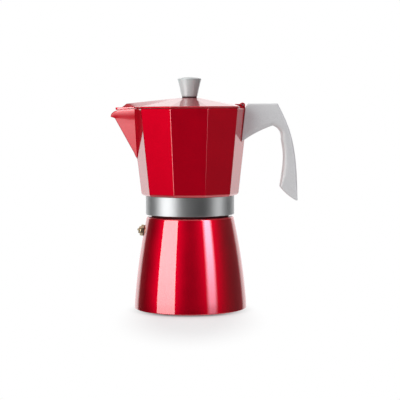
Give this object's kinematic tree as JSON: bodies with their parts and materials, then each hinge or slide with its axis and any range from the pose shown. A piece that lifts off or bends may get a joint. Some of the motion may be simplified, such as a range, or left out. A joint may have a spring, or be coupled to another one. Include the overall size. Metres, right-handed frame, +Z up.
{
  "type": "moka pot",
  "caption": "Stovetop coffee pot: round tapered boiler with a relief valve, screw-on faceted pouring head with spout, hinged lid with a knob, and a bowed side handle.",
  "frame": {"origin": "centre of the flat base, on the pot's axis", "axes": "+Z up along the pot's axis, -X towards the spout, +X towards the handle"},
  "size_m": [0.1874, 0.1126, 0.2308],
  "materials": {
    "red_lacquer": "cast aluminium under a deep red translucent lacquer with a clear gloss coat",
    "bare_aluminium": "fine turned, satin",
    "grey_plastic": "silver-grey moulded plastic, fine satin grain",
    "black_rubber": "matt black",
    "white_silicone": "matt off-white",
    "brass": "machined, slightly dulled",
    "steel": "plain bright"
  },
  "bodies": {
    "base_unit": {"boiler": "red_lacquer", "valve_housing": "brass", "valve_seal": "black_rubber", "valve_cap": "brass", "valve_spring": "steel"},
    "relief_plunger": {"valve_plunger": "brass"},
    "coffee_funnel": {"funnel_basket": "bare_aluminium", "funnel_stem": "bare_aluminium", "basket_screen": "bare_aluminium"},
    "seal_group": {"gasket": "white_silicone", "filter_plate": "bare_aluminium"},
    "pouring_head": {"upper_chamber": "red_lacquer", "coffee_column": "bare_aluminium", "collar_band": "bare_aluminium", "handle": "grey_plastic", "handle_screw": "steel", "hinge_pin": "steel"},
    "lid_group": {"lid": "red_lacquer", "lid_knob": "grey_plastic", "knob_washer": "black_rubber", "knob_screw": "steel"}
  },
  "joints": [
    {"name": "head_rise", "type": "slide", "parent": "base_unit", "child": "seal_group", "axis": [0, 0, 1], "range_m": [0, 0.018]},
    {"name": "head_unscrew", "type": "hinge", "parent": "seal_group", "child": "pouring_head", "pos_m": [0, 0, 0], "axis": [0, 0, 1], "range_deg": [0, 2160]},
    {"name": "funnel_lift", "type": "slide", "parent": "base_unit", "child": "coffee_funnel", "axis": [0, 0, 1], "range_m": [0, 0.009]},
    {"name": "lid_hinge", "type": "hinge", "parent": "pouring_head", "child": "lid_group", "pos_m": [0.0526, 0, 0.2026], "axis": [0, 1, 0], "range_deg": [0, 105]},
    {"name": "valve_lift", "type": "slide", "parent": "base_unit", "child": "relief_plunger", "axis": [-0.9821, 0, 0.1885], "range_m": [0, 0.0015], "stiffness_N_per_m": 600, "springref_m": -0.004, "deforming": ["valve_spring"]}
  ],
  "couplings": [
    {"joint": "head_rise", "follows": "head_unscrew", "m_per_rad": 0.00047746},
    {"joint": "funnel_lift", "follows": "head_unscrew", "m_per_rad": 0.00023873}
  ]
}
